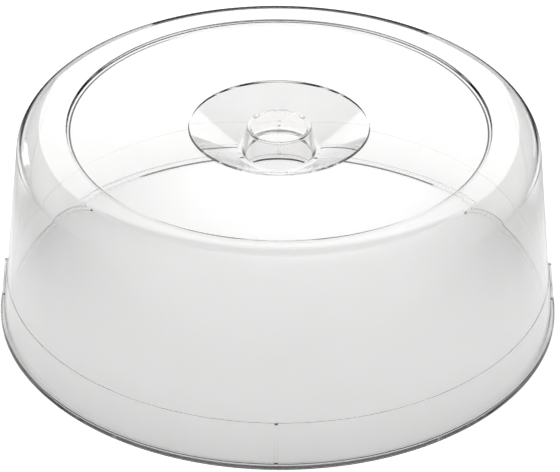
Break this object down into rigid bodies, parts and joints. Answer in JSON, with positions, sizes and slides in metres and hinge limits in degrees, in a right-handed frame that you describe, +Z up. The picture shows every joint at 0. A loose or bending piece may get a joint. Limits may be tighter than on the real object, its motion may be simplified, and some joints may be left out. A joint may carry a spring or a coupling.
{
  "type": "cake carrier cover",
  "caption": "Clear round domed cover for a cake, with a flared and ribbed foot band, a recessed top and a finger dish around a hollow grip post.",
  "frame": {"origin": "centre of the rim's underside, on the surface that the cover stands on", "axes": "+Z up through the grip post, which is the cover's axis; the four ribs are on +X, +Y, -X and -Y"},
  "size_m": [0.3, 0.3, 0.1122],
  "materials": {
    "clear_dome": "clear colourless moulded plastic, polished",
    "clear_skirt": "clear colourless moulded plastic, polished",
    "clear_dish": "clear colourless moulded plastic, polished",
    "clear_post": "clear colourless moulded plastic, polished"
  },
  "bodies": {
    "root": {"dome_shell": "clear_dome", "skirt_ring": "clear_skirt", "finger_dish": "clear_dish", "grip_post": "clear_post"}
  },
  "joints": []
}
